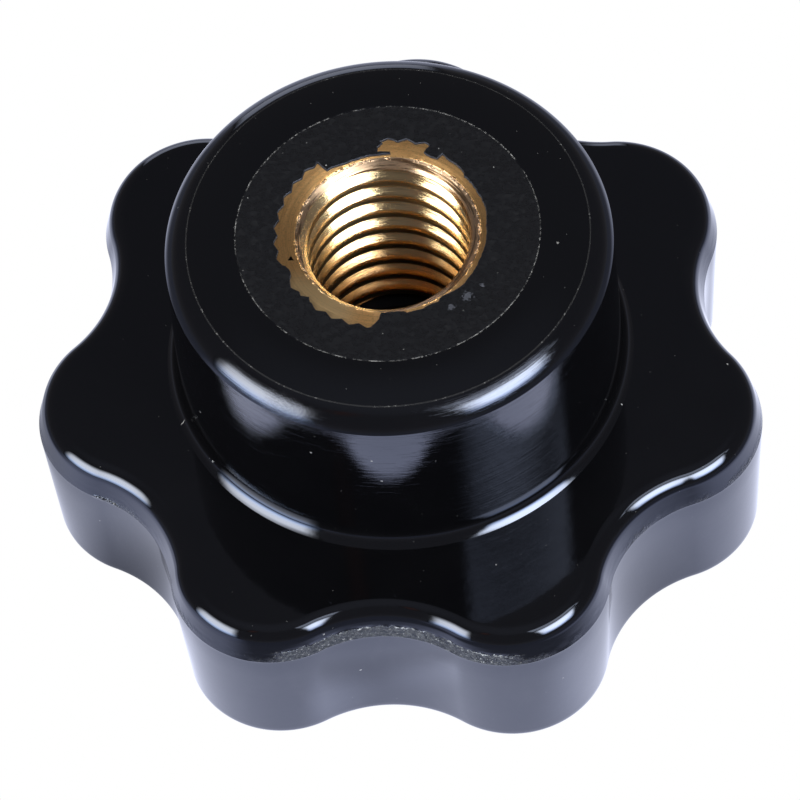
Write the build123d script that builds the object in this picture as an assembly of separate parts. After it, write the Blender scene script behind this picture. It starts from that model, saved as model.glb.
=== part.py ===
from build123d import *
import os
from math import cos, sin, radians, pi, hypot, sqrt

# Star knob: a moulded seven-lobed hand knob with a round hub, and a knurled,
# through-tapped brass insert moulded into the hub.
# Frame: millimetres, +Z up along the thread axis, hub upwards. The origin is
# on the thread axis in the hand face, which the knob rests on. One lobe
# points along +Y, so a scallop faces -Y.

# ---- driving dimensions (mm) ------------------------------------------------
LOBES = 7
TIP_R = 20.0            # lobe tips at the mould parting line: 40 mm head
SCALLOP_R = 16.85       # bottoms of the scallops between the lobes
LOBE_R = 5.54           # radius of each lobe's round end
FIRST_LOBE_DEG = 90.0

HEAD_TOP_Z = 10.3       # upper face of the head, around the hub
PARTING_Z = 8.35        # mould parting line on the grip wall
GRIP_DRAFT_IN = 0.43    # the grip wall leans in by this much at the hand face
HAND_EDGE_R = 0.60      # round on the hand face's edge
UPPER_DRAFT_IN = 0.228  # lean of the short wall above the parting line
TOP_EDGE_R = 1.00       # round on the head's upper edge

HUB_Z = 21.8            # overall height, at the hub's end face
FACE_FLAT_R = 8.3       # edge of the flat part of the end face
CROWN_R = 10.75         # edge of the slightly crowned ring outside it
CROWN_DROP = 0.30
SHOULDER_R = 1.77       # radius of the shoulder's round
SHOULDER_TOP_DEG = 76.0     # its normal's elevation at the crown
SHOULDER_LOW_DEG = 25.0     # and where it meets the wall in a soft crease
HUB_WALL_R = 12.06      # hub wall at its foot, wider by the draft
HUB_WALL_Z = 11.30
HUB_FOOT_R = 12.65      # where the foot's hollow meets the head's upper face

FILM_T = 0.12           # moulding flash left over the insert's end face
INSERT_LEN = 13.0       # length of the brass insert
KNURL_TEETH = 38
KNURL_TIP_R = 6.12
KNURL_ROOT_R = 5.86
KNURL_PHASE_DEG = 7.0
MINOR_R = 4.33          # M10 x 1.5 minor size, 8.66 mm, inside the 6H limits
MOUTH_R = 4.95          # outer radius of the mouth's countersink
MOUTH_DROP = 0.46       # its depth: a shallow cone, about 37 degrees off flat
POCKET_R = 4.00         # blind pocket under the insert, left by the core pin
POCKET_LEN = 0.9

INSERT_TOP_Z = HUB_Z - FILM_T
INSERT_BOT_Z = INSERT_TOP_Z - INSERT_LEN

# Torn edge of the flash film, as (radius, degrees) going anticlockwise. Inside
# it the brass end face is bare; where it lies outside the knurl, the knurl's
# own teeth are the edge of the bare brass.
FLASH_EDGE = [
    (5.21, 131.0), (5.59, 131.2), (6.30, 132.0), (6.35, 148.0), (6.35, 164.0),
    (6.35, 180.0), (6.35, 194.0), (6.20, 199.5), (5.71, 202.2), (5.61, 205.0),
    (5.67, 209.1), (6.05, 212.5), (6.30, 215.0), (6.30, 220.0), (5.93, 222.8),
    (5.66, 226.0), (5.90, 229.0), (6.30, 231.5), (6.35, 240.0), (6.35, 252.0),
    (6.30, 262.9), (5.92, 264.6), (5.62, 267.1), (5.05, 269.2), (5.00, 273.0),
    (5.01, 278.0), (5.04, 282.8), (5.19, 284.4), (5.17, 289.2), (5.18, 294.7),
    (5.12, 297.9), (5.17, 303.6), (5.06, 305.9), (5.03, 308.6), (5.09, 312.5),
    (5.23, 318.9), (5.28, 323.2), (5.22, 327.5), (5.25, 334.9), (5.21, 341.4),
    (5.23, 348.0), (5.27, 354.4), (5.25, 0.6), (5.27, 8.4), (5.36, 16.1),
    (5.39, 21.6), (5.34, 28.6), (5.35, 35.9), (5.33, 43.0), (5.47, 44.8),
    (5.55, 48.8), (5.57, 53.9), (5.63, 58.9), (5.72, 62.0), (5.32, 63.0),
    (5.27, 66.9), (5.32, 70.0), (5.44, 71.9), (5.72, 71.5), (5.98, 71.2),
    (6.04, 74.8), (5.93, 77.3), (5.97, 79.6), (6.12, 82.5), (5.98, 86.3),
    (5.93, 88.8), (5.98, 91.2), (6.06, 94.6), (5.94, 96.6), (5.76, 95.4),
    (5.53, 98.0), (5.27, 98.9), (5.24, 95.6), (5.22, 91.4), (5.06, 91.0),
    (5.03, 96.4), (5.03, 99.5), (5.06, 103.3), (5.03, 110.6), (5.06, 115.3),
    (5.04, 120.5), (5.14, 124.5), (5.20, 128.5),
]


def polar(r, deg):
    a = radians(deg)
    return (r * cos(a), r * sin(a))


# ---- head outline ------------------------------------------------------------
# Each lobe is a round end of LOBE_R, joined by tangent concave arcs.
HALF = pi / LOBES
LOBE_C = TIP_R - LOBE_R
GRIP_R = (LOBE_R**2 - SCALLOP_R**2 + 2 * LOBE_C * cos(HALF) * SCALLOP_R - LOBE_C**2) / (
    2 * SCALLOP_R - 2 * LOBE_C * cos(HALF) - 2 * LOBE_R)      # scallop radius
GRIP_C = SCALLOP_R + GRIP_R


def head_outline(inset):
    """Closed wire of the head, moved inwards by inset."""
    edges = []
    step = 2 * HALF
    gx, gy = GRIP_C * cos(HALF), GRIP_C * sin(HALF)
    ux, uy = gx - LOBE_C, gy
    n = hypot(ux, uy)
    ux, uy = ux / n, uy / n
    lr = LOBE_R - inset
    jx, jy = LOBE_C + lr * ux, lr * uy      # tangent point, lobe to scallop
    for k in range(LOBES):
        a = radians(FIRST_LOBE_DEG) + k * step

        def turn(x, y, b=a):
            return (x * cos(b) - y * sin(b), x * sin(b) + y * cos(b))

        j0 = turn(jx, -jy)
        tip = turn(TIP_R - inset, 0)
        j1 = turn(jx, jy)
        low = turn((SCALLOP_R - inset) * cos(HALF), (SCALLOP_R - inset) * sin(HALF))
        j2 = (lambda p, b=a + step: (p[0] * cos(b) - p[1] * sin(b),
                                    p[0] * sin(b) + p[1] * cos(b)))((jx, -jy))
        edges.append(ThreePointArc(j0, tip, j1))
        edges.append(ThreePointArc(j1, low, j2))
    return Wire(edges)


def head_face(inset, z):
    return Pos(0, 0, z) * make_face(head_outline(inset).edges())


# Grip wall: drafted from the parting line down to the hand face.
lower = loft([head_face(GRIP_DRAFT_IN, 0.0), head_face(0.0, PARTING_Z)], ruled=True)
bottom_edges = lower.edges().group_by(Axis.Z)[0]
lower = fillet(bottom_edges, HAND_EDGE_R)

# Upper rim: short drafted wall, then the rounded edge up to the upper face.
rim_slope = UPPER_DRAFT_IN / (HEAD_TOP_Z - TOP_EDGE_R - PARTING_Z)
upper_in = rim_slope * (HEAD_TOP_Z - PARTING_Z)
upper = loft([head_face(0.0, PARTING_Z), head_face(upper_in, HEAD_TOP_Z)], ruled=True)
top_edges = upper.edges().group_by(Axis.Z)[-1]
upper = fillet(top_edges, TOP_EDGE_R)
head = lower + upper

# ---- hub ----------------------------------------------------------------------
crown_z = HUB_Z - CROWN_DROP


def on_shoulder(deg):
    """Point (r, z) of the shoulder's arc at a normal's elevation."""
    a, b = radians(deg), radians(SHOULDER_TOP_DEG)
    return (CROWN_R + SHOULDER_R * (cos(a) - cos(b)), crown_z + SHOULDER_R * (sin(a) - sin(b)))


# the crown: an arc tangent to the flat face
crown_run = CROWN_R - FACE_FLAT_R
crown_arc = (crown_run**2 + CROWN_DROP**2) / (2 * CROWN_DROP)
half_run = crown_run / 2
crown_mid = (FACE_FLAT_R + half_run, HUB_Z - (crown_arc - sqrt(crown_arc**2 - half_run**2)))

shoulder_low = on_shoulder(SHOULDER_LOW_DEG)
wall_dir = (HUB_WALL_R - shoulder_low[0], HUB_WALL_Z - shoulder_low[1])

profile = [
    Line((0, 4.0), (HUB_FOOT_R, 4.0)),
    Line((HUB_FOOT_R, 4.0), (HUB_FOOT_R, HEAD_TOP_Z)),
    TangentArc((HUB_WALL_R, HUB_WALL_Z), (HUB_FOOT_R, HEAD_TOP_Z), tangent=wall_dir),
    Line((HUB_WALL_R, HUB_WALL_Z), shoulder_low),
    ThreePointArc(shoulder_low, on_shoulder((SHOULDER_TOP_DEG + SHOULDER_LOW_DEG) / 2),
                  (CROWN_R, crown_z)),
    ThreePointArc((CROWN_R, crown_z), crown_mid, (FACE_FLAT_R, HUB_Z)),
    Line((FACE_FLAT_R, HUB_Z), (0, HUB_Z)),
    Line((0, HUB_Z), (0, 4.0)),
]
hub_face2d = make_face(profile)
hub = revolve(Plane.XZ * hub_face2d, Axis.Z, 360)
body = head + hub

# ---- brass insert ---------------------------------------------------------------
knurl_pts = []
for k in range(KNURL_TEETH):
    a = KNURL_PHASE_DEG + k * 360.0 / KNURL_TEETH
    knurl_pts.append(polar(KNURL_TIP_R, a))
    knurl_pts.append(polar(KNURL_ROOT_R, a + 180.0 / KNURL_TEETH))
knurl_face = make_face(Polyline(*knurl_pts, close=True).edges())

knurl_blank = extrude(Pos(0, 0, INSERT_BOT_Z) * knurl_face, amount=INSERT_LEN)
bore = Pos(0, 0, INSERT_BOT_Z) * Cylinder(MINOR_R, INSERT_LEN, align=(Align.CENTER, Align.CENTER, Align.MIN))
mouth = Pos(0, 0, INSERT_TOP_Z - MOUTH_DROP) * Cone(MINOR_R, MOUTH_R, MOUTH_DROP,
                                                    align=(Align.CENTER, Align.CENTER, Align.MIN))
insert = knurl_blank - bore - mouth

# ---- cavity in the body -----------------------------------------------------------
# The insert's own envelope, the bare window through the flash film above it,
# and the blind pocket below it.
flash_face = make_face(Polyline(*[polar(r, a) for r, a in FLASH_EDGE], close=True).edges())
window_face = knurl_face & flash_face
window = extrude(Pos(0, 0, INSERT_TOP_Z) * window_face, amount=FILM_T + 1.0)
pocket = Pos(0, 0, INSERT_BOT_Z - POCKET_LEN) * Cylinder(
    POCKET_R, POCKET_LEN, align=(Align.CENTER, Align.CENTER, Align.MIN))
body = body - knurl_blank - window - pocket


def one_solid(shape, name):
    solids = shape.solids()
    big = max(solids, key=lambda s: s.volume)
    print(name, "solids", len(solids), "volume %.2f mm3" % big.volume, "valid", big.is_valid)
    return big


body = one_solid(body, "knob_body")
insert = one_solid(insert, "threaded_insert")
body.label = "knob_body"
insert.label = "threaded_insert"

os.makedirs("parts", exist_ok=True)
export_step(body, "parts/knob_body.step")
export_step(insert, "parts/threaded_insert.step")
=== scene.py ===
import bpy
import math
from mathutils import Matrix, Vector, noise
from mathutils.geometry import delaunay_2d_cdt


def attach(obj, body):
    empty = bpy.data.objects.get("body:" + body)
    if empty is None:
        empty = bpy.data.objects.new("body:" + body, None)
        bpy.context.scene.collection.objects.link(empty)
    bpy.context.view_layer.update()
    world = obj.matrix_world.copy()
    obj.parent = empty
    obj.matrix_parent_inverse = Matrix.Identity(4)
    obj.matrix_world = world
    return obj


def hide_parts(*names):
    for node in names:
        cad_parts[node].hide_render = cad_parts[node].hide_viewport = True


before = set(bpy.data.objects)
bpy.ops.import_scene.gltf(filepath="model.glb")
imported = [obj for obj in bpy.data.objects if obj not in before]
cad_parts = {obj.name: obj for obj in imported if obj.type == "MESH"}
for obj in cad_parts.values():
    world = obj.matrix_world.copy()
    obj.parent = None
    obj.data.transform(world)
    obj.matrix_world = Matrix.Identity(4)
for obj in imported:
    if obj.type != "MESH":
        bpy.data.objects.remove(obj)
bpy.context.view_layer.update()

# Star knob. Lengths below are in millimetres and become metres when a mesh is
# made. +Z runs up the thread axis, the knob stands on its hand face at z = 0.

# ---- sizes, the same as in the CAD model ------------------------------------
LOBES = 7
TIP_R = 20.0
SCALLOP_R = 16.85
LOBE_R = 5.54
HALF = math.pi / LOBES
LOBE_C = TIP_R - LOBE_R
GRIP_R = (LOBE_R**2 - SCALLOP_R**2 + 2 * LOBE_C * math.cos(HALF) * SCALLOP_R - LOBE_C**2) / (
    2 * SCALLOP_R - 2 * LOBE_C * math.cos(HALF) - 2 * LOBE_R)
GRIP_C = SCALLOP_R + GRIP_R

HEAD_TOP_Z = 10.3
PARTING_Z = 8.35
GRIP_DRAFT_IN = 0.43
HAND_EDGE_R = 0.60
UPPER_SLOPE = 0.24
TOP_EDGE_R = 1.00
HUB_Z = 21.8
FACE_FLAT_R = 8.3
CROWN_R = 10.75
CROWN_DROP = 0.30
SHOULDER_R = 1.77
SHOULDER_TOP_DEG = 76.0
SHOULDER_LOW_DEG = 25.0
HUB_WALL_R = 12.06
HUB_WALL_Z = 11.30
HUB_FOOT_R = 12.65
WITNESS_R = 8.10

FILM_T = 0.12
INSERT_TOP_Z = HUB_Z - FILM_T
INSERT_BOT_Z = INSERT_TOP_Z - 13.0
KNURL_TEETH = 38
KNURL_TIP_R = 6.12
KNURL_ROOT_R = 5.86
KNURL_PHASE = math.radians(7.0)
MINOR_R = 4.33
MAJOR_R = 4.97
PITCH = 1.5
THREAD_TURN = 0.343     # where the crest starts, in pitches
MOUTH_R = 4.95
MOUTH_DROP = 0.46
POCKET_R = 4.00
POCKET_LEN = 0.9

# Torn edge of the moulding film over the insert's end face: radius, degrees.
FLASH_EDGE = [
    (5.21, 131.0), (5.59, 131.2), (6.30, 132.0), (6.35, 148.0), (6.35, 164.0),
    (6.35, 180.0), (6.35, 194.0), (6.20, 199.5), (5.71, 202.2), (5.61, 205.0),
    (5.67, 209.1), (6.05, 212.5), (6.30, 215.0), (6.30, 220.0), (5.93, 222.8),
    (5.66, 226.0), (5.90, 229.0), (6.30, 231.5), (6.35, 240.0), (6.35, 252.0),
    (6.30, 262.9), (5.92, 264.6), (5.62, 267.1), (5.05, 269.2), (5.00, 273.0),
    (5.01, 278.0), (5.04, 282.8), (5.19, 284.4), (5.17, 289.2), (5.18, 294.7),
    (5.12, 297.9), (5.17, 303.6), (5.06, 305.9), (5.03, 308.6), (5.09, 312.5),
    (5.23, 318.9), (5.28, 323.2), (5.22, 327.5), (5.25, 334.9), (5.21, 341.4),
    (5.23, 348.0), (5.27, 354.4), (5.25, 0.6), (5.27, 8.4), (5.36, 16.1),
    (5.39, 21.6), (5.34, 28.6), (5.35, 35.9), (5.33, 43.0), (5.47, 44.8),
    (5.55, 48.8), (5.57, 53.9), (5.63, 58.9), (5.72, 62.0), (5.32, 63.0),
    (5.27, 66.9), (5.32, 70.0), (5.44, 71.9), (5.72, 71.5), (5.98, 71.2),
    (6.04, 74.8), (5.93, 77.3), (5.97, 79.6), (6.12, 82.5), (5.98, 86.3),
    (5.93, 88.8), (5.98, 91.2), (6.06, 94.6), (5.94, 96.6), (5.76, 95.4),
    (5.53, 98.0), (5.27, 98.9), (5.24, 95.6), (5.22, 91.4), (5.06, 91.0),
    (5.03, 96.4), (5.03, 99.5), (5.06, 103.3), (5.03, 110.6), (5.06, 115.3),
    (5.04, 120.5), (5.14, 124.5), (5.20, 128.5),
]


def polar(r, a):
    return (r * math.cos(a), r * math.sin(a))


def smooth(e0, e1, x):
    t = min(1.0, max(0.0, (x - e0) / (e1 - e0)))
    return t * t * (3 - 2 * t)


def nz(x, y, z, seed=0.0):
    """Repeatable noise, about -1 to 1."""
    return noise.noise(Vector((x + 17.3 * seed, y - 9.1 * seed, z + 5.7 * seed)))


# ---- camera, first ----------------------------------------------------------
cam_data = bpy.data.cameras.new("camera")
cam = bpy.data.objects.new("camera", cam_data)
bpy.context.scene.collection.objects.link(cam)
cam_data.sensor_fit = "HORIZONTAL"
cam_data.sensor_width = 36.0
cam_data.lens = 341.3037
cam_data.clip_start = 0.01
cam_data.clip_end = 20.0
right = Vector((0.9969689, 0.0497043, -0.0598539))
up = Vector((-0.0098008, 0.8434267, 0.5371548))
fwd = Vector((-0.0771813, 0.53494, -0.8413574))
rot = Matrix((right, up, -fwd)).transposed().to_4x4()
cam.matrix_world = Matrix.Translation(Vector((0.031708, -0.222007, 0.354473))) @ rot
bpy.context.scene.camera = cam


# ---- mesh helper ------------------------------------------------------------
class Shell:
    """Vertices in millimetres and faces, made into one closed mesh."""

    def __init__(self):
        self.v = []
        self.f = []
        self.creases = set()

    def crease(self, loop):
        """Marks a closed loop's edges sharp."""
        for k, i in enumerate(loop):
            j = loop[(k + 1) % len(loop)]
            self.creases.add((min(i, j), max(i, j)))

    def add(self, p):
        self.v.append(p)
        return len(self.v) - 1

    def ring(self, pts):
        return [self.add(p) for p in pts]

    def face(self, idx):
        out = []
        for i in idx:
            if not out or out[-1] != i:
                out.append(i)
        if len(out) > 1 and out[0] == out[-1]:
            out.pop()
        if len(set(out)) == len(out) and len(out) >= 3:
            self.f.append(tuple(out))

    def bridge(self, a, b):
        """Quads between two closed rings of the same count. Going round a
        anticlockwise with b on the right-hand side faces outwards."""
        n = len(a)
        for i in range(n):
            j = (i + 1) % n
            self.face((a[i], b[i], b[j], a[j]))

    def plane(self, loops, keep, up):
        """Flat region between closed loops of vertex indices."""
        co, ed, back = [], [], []
        for loop in loops:
            base = len(co)
            n = len(loop)
            for k, i in enumerate(loop):
                co.append(Vector((self.v[i][0], self.v[i][1])))
                back.append(i)
                ed.append((base + k, base + (k + 1) % n))
        z = self.v[loops[0][0]][2]
        vo, _, fo, ov, _, _ = delaunay_2d_cdt(co, ed, [], 0, 1e-6)
        new = []
        for k, p in enumerate(vo):
            new.append(back[ov[k][0]] if ov[k] else self.add((p.x, p.y, z)))
        for t in fo:
            cx = sum(vo[i].x for i in t) / 3
            cy = sum(vo[i].y for i in t) / 3
            if keep(cx, cy):
                idx = [new[i] for i in t]
                a, b, c = (self.v[i] for i in idx)
                area = (b[0] - a[0]) * (c[1] - a[1]) - (b[1] - a[1]) * (c[0] - a[0])
                if (area > 0) != up:
                    idx.reverse()
                self.face(idx)

    def build(self, name, sharp_deg):
        me = bpy.data.meshes.new(name)
        me.from_pydata([(x / 1000, y / 1000, z / 1000) for x, y, z in self.v], [], self.f)
        me.validate()
        me.shade_smooth()
        me.set_sharp_from_angle(angle=math.radians(sharp_deg))
        for e in me.edges:
            if tuple(sorted(e.vertices)) in self.creases:
                e.use_edge_sharp = True
        me.update()
        ob = bpy.data.objects.new(name, me)
        bpy.context.scene.collection.objects.link(ob)
        return ob


def inside(poly):
    """Point-in-polygon test for a list of (x, y)."""
    n = len(poly)

    def test(x, y):
        hit = False
        j = n - 1
        for i in range(n):
            xi, yi = poly[i]
            xj, yj = poly[j]
            if (yi > y) != (yj > y) and x < (xj - xi) * (y - yi) / (yj - yi) + xi:
                hit = not hit
            j = i
        return hit

    return test


# ---- knurl and the torn film edge -------------------------------------------
TOOTH = 2 * math.pi / KNURL_TEETH


def knurl_r(a):
    """Radius of the knurl's outline at an angle: straight runs, tip to root."""
    t = ((a - KNURL_PHASE) / TOOTH) % 1.0
    t = min(t, 1.0 - t) * TOOTH
    ax, ay = KNURL_TIP_R, 0.0
    bx, by = polar(KNURL_ROOT_R, TOOTH / 2)
    ux, uy = math.cos(t), math.sin(t)
    return ((bx - ax) * ay - (by - ay) * ax) / ((bx - ax) * uy - (by - ay) * ux)


def knurl_points(grow=0.0):
    out = []
    for k in range(KNURL_TEETH):
        a = KNURL_PHASE + k * TOOTH
        out.append(polar(KNURL_TIP_R + grow, a))
        out.append(polar(KNURL_ROOT_R + grow, a + TOOTH / 2))
    return out


def window_outline():
    """Film edge: the torn line, cut off at the knurl where it runs outside it."""
    raw = [polar(r, math.radians(a)) for r, a in FLASH_EDGE]
    dense = []
    n = len(raw)
    for i in range(n):
        (x0, y0), (x1, y1) = raw[i], raw[(i + 1) % n]
        ln = math.hypot(x1 - x0, y1 - y0)
        k = max(1, int(ln / 0.05))
        nx, ny = (y1 - y0) / ln, -(x1 - x0) / ln
        for s in range(k):
            t = s / k
            x, y = x0 + (x1 - x0) * t, y0 + (y1 - y0) * t
            w = 0.036 * nz(x * 2.6, y * 2.6, 0.3) + 0.024 * nz(x * 7.0, y * 7.0, 1.7)
            dense.append((x + nx * w, y + ny * w))
    out = []
    last = None
    for x, y in dense:
        a = math.atan2(y, x)
        r = math.hypot(x, y)
        # teeth rounded at their tips, and worn a little unevenly
        t = (knurl_r(a) - KNURL_ROOT_R) / (KNURL_TIP_R - KNURL_ROOT_R)
        lim = KNURL_ROOT_R - 0.006 + 0.21 * (1 - (1 - min(1.0, t)) ** 1.15)
        lim += 0.022 * nz(x * 1.3, y * 1.3, 4.0) - 0.022
        if r > lim:
            r = lim
        p = polar(r, a)
        if last is None or math.hypot(p[0] - last[0], p[1] - last[1]) > 0.018:
            out.append(p)
            last = p
    return out


def offset_loop(loop, d):
    """Moves a closed anticlockwise loop outwards along its smoothed normals."""
    n = len(loop)
    out = []
    for i in range(n):
        x0, y0 = loop[(i - 2) % n]
        x1, y1 = loop[(i + 2) % n]
        tx, ty = x1 - x0, y1 - y0
        ln = math.hypot(tx, ty) or 1.0
        out.append((loop[i][0] + ty / ln * d, loop[i][1] - tx / ln * d))
    return out


# ---- head outline, one point for each column --------------------------------
def outline(inset, n_lobe=35, n_grip=25):
    """Closed outline of the head moved in by inset; 120 columns to a lobe."""
    gx, gy = GRIP_C * math.cos(HALF), GRIP_C * math.sin(HALF)
    beta = math.atan2(gy, gx - LOBE_C)
    half = []
    for k in range(n_lobe):
        t = beta * k / n_lobe
        half.append((LOBE_C + (LOBE_R - inset) * math.cos(t), (LOBE_R - inset) * math.sin(t)))
    a0, a1 = beta + math.pi, HALF + math.pi
    for k in range(n_grip + 1):
        t = a0 + (a1 - a0) * k / n_grip
        half.append((gx + (GRIP_R + inset) * math.cos(t), gy + (GRIP_R + inset) * math.sin(t)))
    c, s = math.cos(2 * HALF), math.sin(2 * HALF)
    mirror = [(x * c + y * s, x * s - y * c) for x, y in half][::-1][1:-1]
    per = half + mirror
    out = []
    for k in range(LOBES):
        a = math.pi / 2 + k * 2 * HALF
        c, s = math.cos(a), math.sin(a)
        out += [(x * c - y * s, x * s + y * c) for x, y in per]
    return out


BASE = outline(0.0)
NCOL = len(BASE)
THETA = [math.atan2(y, x) for x, y in BASE]


def circle_pts(r, z):
    return [(r * math.cos(a), r * math.sin(a), z) for a in THETA]


def star_pts(inset, z):
    return [(x, y, z) for x, y in outline(inset)]


def band_mask(x, y):
    """1 where the moulding flash along the parting line was filed off rough,
    strongest across the front scallop."""
    if y < -10:
        return smooth(-6.2, -4.6, x) * (1 - smooth(6.2, 7.8, x))
    return 0.0


def make_body():
    s = Shell()
    win = window_outline()
    lips = [(0.0, 0.085), (0.006, 0.046), (0.016, 0.020), (0.030, 0.006), (0.046, 0.0)]
    lip = [s.ring([(x, y, HUB_Z - d) for x, y in offset_loop(win, o)]) for o, d in lips]
    l_bot = s.ring([(x, y, INSERT_TOP_Z - 0.012) for x, y in win])
    l_top = lip[-1]
    s.crease(l_top)

    # hub end face with the thin raised witness line
    face0 = s.ring(circle_pts(7.2, HUB_Z))
    hole = inside([(s.v[i][0], s.v[i][1]) for i in l_top])
    s.plane([l_top, face0], lambda x, y: math.hypot(x, y) < 7.2 and not hole(x, y), True)
    prev = face0
    for r, h in ((7.90, 0.0), (8.03, 0.0), (8.07, 0.5), (8.10, 1.0), (8.13, 0.5), (8.17, 0.0),
                 (FACE_FLAT_R, 0.0)):
        pts = []
        for a in THETA:
            q = polar(1.0, a)
            wob = 0.012 * nz(q[0] * 3, q[1] * 3, 2.0) if 8.0 < r < 8.2 else 0.0
            up_ = h * (0.010 + 0.010 * nz(q[0] * 26, q[1] * 26, 5.0))
            pts.append(((r + wob) * q[0], (r + wob) * q[1], HUB_Z - abs(up_)))
        cur = s.ring(pts)
        s.bridge(prev, cur)
        prev = cur
    # the crowned ring outside it
    run = CROWN_R - FACE_FLAT_R
    arc = (run**2 + CROWN_DROP**2) / (2 * CROWN_DROP)
    for k in range(1, 11):
        t = run * k / 10
        cur = s.ring(circle_pts(FACE_FLAT_R + t, HUB_Z - arc + math.sqrt(arc**2 - t**2)))
        s.bridge(prev, cur)
        prev = cur
    # shoulder
    t0, t1 = math.radians(SHOULDER_TOP_DEG), math.radians(SHOULDER_LOW_DEG)
    for k in range(1, 15):
        t = t0 + (t1 - t0) * k / 14
        r = CROWN_R + SHOULDER_R * (math.cos(t) - math.cos(t0))
        z = HUB_Z - CROWN_DROP + SHOULDER_R * (math.sin(t) - math.sin(t0))
        cur = s.ring(circle_pts(r, z))
        s.bridge(prev, cur)
        prev = cur
    s.crease(prev)
    # hub wall, drafted
    r_top, z_top = r, z
    for t in (0.004, 0.2, 0.4, 0.6, 0.8, 0.985, 1.0):
        cur = s.ring(circle_pts(r_top + (HUB_WALL_R - r_top) * t, z_top + (HUB_WALL_Z - z_top) * t))
        s.bridge(prev, cur)
        prev = cur
    # hollow at the foot, tangent to the wall
    wx, wz = HUB_WALL_R - r_top, HUB_WALL_Z - z_top
    ln = math.hypot(wx, wz)
    nx, nzz = -wz / ln, wx / ln
    dx, dz = HUB_FOOT_R - HUB_WALL_R, HEAD_TOP_Z - HUB_WALL_Z
    rad = (dx * dx + dz * dz) / (2 * (dx * nx + dz * nzz))
    cx, cz = HUB_WALL_R + nx * rad, HUB_WALL_Z + nzz * rad
    f0 = math.atan2(HUB_WALL_Z - cz, HUB_WALL_R - cx) % (2 * math.pi)
    f1 = math.atan2(HEAD_TOP_Z - cz, HUB_FOOT_R - cx) % (2 * math.pi)
    for k in range(1, 11):
        f = f0 + (f1 - f0) * k / 10
        cur = s.ring(circle_pts(cx + rad * math.cos(f), cz + rad * math.sin(f)))
        s.bridge(prev, cur)
        prev = cur
    s.crease(prev)
    # head's upper face, from the circle out to the lobed line
    lean = math.atan(UPPER_SLOPE)
    rim_c = UPPER_SLOPE * (HEAD_TOP_Z - TOP_EDGE_R - PARTING_Z) + TOP_EDGE_R / math.cos(lean)
    inner = circle_pts(HUB_FOOT_R, HEAD_TOP_Z)
    outer = star_pts(rim_c, HEAD_TOP_Z)
    for t in (0.02, 0.25, 0.5, 0.75, 0.98, 1.0):
        cur = s.ring([(a[0] + (b[0] - a[0]) * t, a[1] + (b[1] - a[1]) * t, HEAD_TOP_Z)
                      for a, b in zip(inner, outer)])
        s.bridge(prev, cur)
        prev = cur
    # rounded upper edge
    steps = 13
    for k in range(1, steps + 1):
        f = math.pi / 2 + (lean - math.pi / 2) * k / steps
        cur = s.ring(star_pts(rim_c - TOP_EDGE_R * math.cos(f),
                              HEAD_TOP_Z - TOP_EDGE_R + TOP_EDGE_R * math.sin(f)))
        s.bridge(prev, cur)
        prev = cur
    # short wall above the parting line, with the filed moulding flash
    z_hi = HEAD_TOP_Z - TOP_EDGE_R + TOP_EDGE_R * math.sin(lean)
    rows = 14
    for k in range(1, rows + 1):
        z = z_hi + (PARTING_Z + 0.015 - z_hi) * k / rows
        inset = UPPER_SLOPE * (z - PARTING_Z)
        pts = []
        edge = outline(inset)
        for c, (x, y) in enumerate(edge):
            bx, by = BASE[c]
            m = band_mask(x, y)
            d = 0.0
            if k < rows:
                fall = smooth(9.25, 8.95, z) * smooth(0, 1.5, rows - k)
                g = nz(x * 4.2, y * 4.2, z * 4.2, 1) + 0.8 * nz(x * 9.5, y * 9.5, z * 9.5, 2)
                d = m * fall * (0.055 * g - 0.01)
                d += 0.006 * fall * nz(x * 2.2, y * 2.2, z * 5, 3)
                if max(abs(x), abs(y)) > 18.0:
                    d = min(d, 0.0)
            # outward direction of the column
            p0, p1 = edge[(c - 1) % NCOL], edge[(c + 1) % NCOL]
            tx, ty = p1[0] - p0[0], p1[1] - p0[1]
            ln = math.hypot(tx, ty)
            pts.append((x + ty / ln * d, y - tx / ln * d, z + 0.3 * d))
        cur = s.ring(pts)
        s.bridge(prev, cur)
        prev = cur
    # parting line: a hair proud of the wall below
    for inset, z in ((0.0005, PARTING_Z + 0.004), (0.012, PARTING_Z - 0.014),
                     (0.016, PARTING_Z - 0.05)):
        cur = s.ring(star_pts(inset, z))
        s.bridge(prev, cur)
        prev = cur
    # grip wall, drafted
    slope = GRIP_DRAFT_IN / PARTING_Z
    tilt = math.atan(slope)
    foot_c = GRIP_DRAFT_IN - slope * HAND_EDGE_R + HAND_EDGE_R / math.cos(tilt)
    z_foot = HAND_EDGE_R - HAND_EDGE_R * math.sin(tilt)
    for z in (PARTING_Z - 0.25, 6.5, 4.5, 2.5, z_foot + 0.25, z_foot):
        cur = s.ring(star_pts(GRIP_DRAFT_IN * (1 - z / PARTING_Z), z))
        s.bridge(prev, cur)
        prev = cur
    # round at the hand face
    for k in range(1, 8):
        f = -tilt + (-math.pi / 2 + tilt) * k / 7
        cur = s.ring(star_pts(foot_c - HAND_EDGE_R * math.cos(f),
                              HAND_EDGE_R + HAND_EDGE_R * math.sin(f)))
        s.bridge(prev, cur)
        prev = cur
    # flat hand face
    foot = [(s.v[i][0], s.v[i][1]) for i in prev]
    within = inside(foot)
    s.plane([prev], within, False)

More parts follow.
